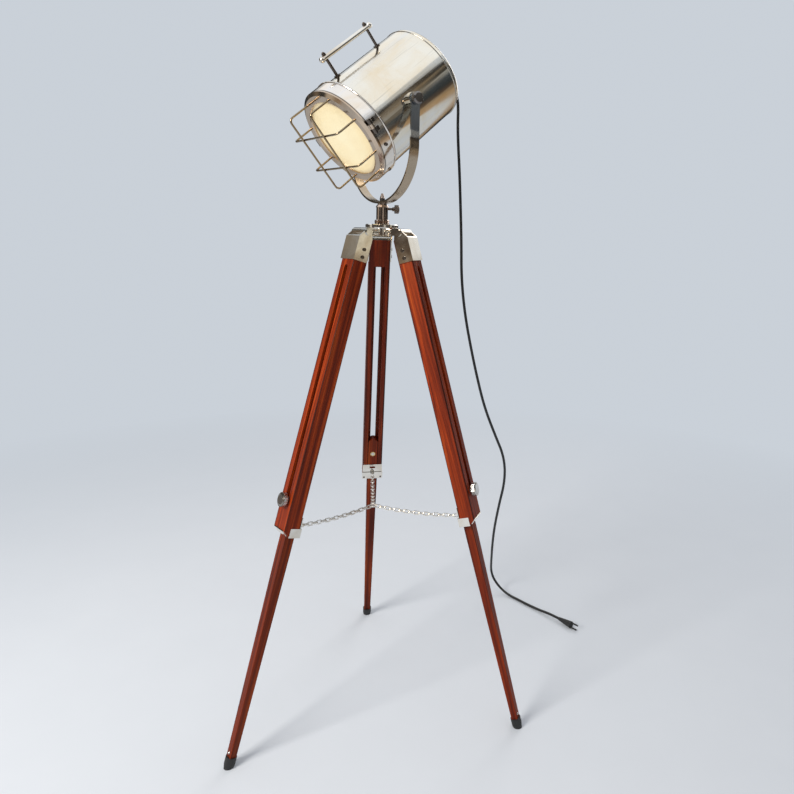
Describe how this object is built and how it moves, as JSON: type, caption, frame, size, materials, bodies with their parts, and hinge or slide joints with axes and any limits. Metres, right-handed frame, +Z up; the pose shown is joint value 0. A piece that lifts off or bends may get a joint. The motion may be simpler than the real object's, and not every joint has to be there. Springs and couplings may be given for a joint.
{
  "type": "tripod spotlight floor lamp",
  "caption": "Floor lamp with a polished drum spotlight on a tilting yoke, over a wooden tripod with telescoping legs and spreader chains.",
  "frame": {"origin": "on the floor, under the middle of the box round the three feet", "axes": "+Z up; -Y towards the viewer of the picture; the rear leg points along +Y"},
  "size_m": [0.8388, 0.5642, 1.4472],
  "materials": {
    "polished_metal": "polished",
    "dark_metal": "polished, dark reflections",
    "reflector_metal": "satin",
    "ceramic": "matt white",
    "opal_glass": "opal",
    "frosted_glass": "frosted, lit warm",
    "black_plastic": "satin",
    "cord_rubber": "matt",
    "brass": "satin",
    "wood": "lacquered red-brown",
    "foot_rubber": "matt"
  },
  "bodies": {
    "tripod_hub": {"hub_casting": "polished_metal", "post_body": "polished_metal", "post_collar": "polished_metal", "chain_ring": "polished_metal", "power_cord": "cord_rubber", "power_plug": "black_plastic", "spreader_chain_rear": "polished_metal", "spreader_chain_left": "polished_metal", "spreader_chain_right": "polished_metal"},
    "leg_rear": {"hinge_pin_rear": "polished_metal", "leg_bracket_rear": "polished_metal", "bracket_screws_rear": "polished_metal", "upper_leg_rear": "wood", "ferrule_rear": "polished_metal"},
    "lower_leg_rear": {"lower_leg_rear": "wood", "thread_insert_rear": "brass", "rubber_foot_rear": "foot_rubber"},
    "thumbscrew_rear": {"leg_thumbscrew_rear": "polished_metal"},
    "leg_left": {"hinge_pin_left": "polished_metal", "leg_bracket_left": "polished_metal", "bracket_screws_left": "polished_metal", "upper_leg_left": "wood", "ferrule_left": "polished_metal"},
    "lower_leg_left": {"lower_leg_left": "wood", "thread_insert_left": "brass", "rubber_foot_left": "foot_rubber"},
    "thumbscrew_left": {"leg_thumbscrew_left": "polished_metal"},
    "leg_right": {"hinge_pin_right": "polished_metal", "leg_bracket_right": "polished_metal", "bracket_screws_right": "polished_metal", "upper_leg_right": "wood", "ferrule_right": "polished_metal"},
    "lower_leg_right": {"lower_leg_right": "wood", "thread_insert_right": "brass", "rubber_foot_right": "foot_rubber"},
    "thumbscrew_right": {"leg_thumbscrew_right": "polished_metal"},
    "yoke": {"yoke_strap": "polished_metal", "yoke_spigot": "polished_metal", "finial": "polished_metal"},
    "head": {"drum_shell": "polished_metal", "rear_cap": "polished_metal", "collar_band": "polished_metal", "reflector": "reflector_metal", "lamp_socket": "ceramic", "bulb": "opal_glass", "pivot_bosses": "polished_metal", "door_hinge": "polished_metal", "handle_posts": "dark_metal", "grip_bar": "polished_metal", "handle_nuts": "dark_metal", "cord_gland": "black_plastic"},
    "front_door": {"bezel_ring": "polished_metal", "glass_lens": "frosted_glass", "door_latch": "polished_metal", "guard_cage": "polished_metal"},
    "tilt_knob_near": {"tilt_knob_near": "dark_metal"},
    "tilt_knob_far": {"tilt_knob_far": "dark_metal"},
    "post_thumbscrew": {"post_thumbscrew": "dark_metal"}
  },
  "joints": [
    {"name": "leg_fold_rear", "type": "hinge", "parent": "tripod_hub", "child": "leg_rear", "pos_m": [0, -0.0359, 1.03], "axis": [-1, 0, 0], "range_deg": [0, 15.7], "deforming": ["spreader_chain_rear"]},
    {"name": "leg_slide_rear", "type": "slide", "parent": "leg_rear", "child": "lower_leg_rear", "axis": [0, -0.2708, 0.9626], "range_m": [0, 0.395]},
    {"name": "thumbscrew_turn_rear", "type": "hinge", "parent": "lower_leg_rear", "child": "thumbscrew_rear", "pos_m": [0, 0.13308, 0.50307], "axis": [0, 0.9626, 0.2708], "continuous": true},
    {"name": "leg_fold_left", "type": "hinge", "parent": "tripod_hub", "child": "leg_left", "pos_m": [-0.04217, -0.10895, 1.03], "axis": [0.5, -0.866, 0], "range_deg": [0, 15.7], "deforming": ["spreader_chain_left"]},
    {"name": "leg_slide_left", "type": "slide", "parent": "leg_left", "child": "lower_leg_left", "axis": [0.2345, 0.1354, 0.9626], "range_m": [0, 0.395]},
    {"name": "thumbscrew_turn_left", "type": "hinge", "parent": "lower_leg_left", "child": "thumbscrew_left", "pos_m": [-0.18852, -0.19344, 0.50307], "axis": [-0.8337, -0.4813, 0.2708], "continuous": true},
    {"name": "leg_fold_right", "type": "hinge", "parent": "tripod_hub", "child": "leg_right", "pos_m": [0.04217, -0.10895, 1.03], "axis": [0.5, 0.866, 0], "range_deg": [0, 15.7], "deforming": ["spreader_chain_right"]},
    {"name": "leg_slide_right", "type": "slide", "parent": "leg_right", "child": "lower_leg_right", "axis": [-0.2345, 0.1354, 0.9626], "range_m": [0, 0.395]},
    {"name": "thumbscrew_turn_right", "type": "hinge", "parent": "lower_leg_right", "child": "thumbscrew_right", "pos_m": [0.18852, -0.19344, 0.50307], "axis": [0.8337, -0.4813, 0.2708], "continuous": true},
    {"name": "yoke_pan", "type": "hinge", "parent": "tripod_hub", "child": "yoke", "pos_m": [0, -0.0846, 1.07], "axis": [0, 0, 1], "range_deg": [-150, 150], "deforming": ["power_cord"]},
    {"name": "head_tilt", "type": "hinge", "parent": "yoke", "child": "head", "pos_m": [0, -0.0846, 1.2907], "axis": [0.4796, -0.8775, 0], "range_deg": [-60, 18], "deforming": ["power_cord"]},
    {"name": "door_swing", "type": "hinge", "parent": "head", "child": "front_door", "pos_m": [-0.031, -0.22645, 1.22512], "axis": [-0.57, -0.3115, 0.7603], "range_deg": [0, 110]},
    {"name": "tilt_knob_near_turn", "type": "hinge", "parent": "head", "child": "tilt_knob_near", "pos_m": [0.05659, -0.18814, 1.2907], "axis": [0.4796, -0.8775, 0], "continuous": true},
    {"name": "tilt_knob_far_turn", "type": "hinge", "parent": "head", "child": "tilt_knob_far", "pos_m": [-0.05659, 0.01894, 1.2907], "axis": [0.4796, -0.8775, 0], "continuous": true},
    {"name": "post_thumbscrew_turn", "type": "hinge", "parent": "tripod_hub", "child": "post_thumbscrew", "pos_m": [0.02, -0.0846, 1.0795], "axis": [1, 0, 0], "continuous": true}
  ]
}
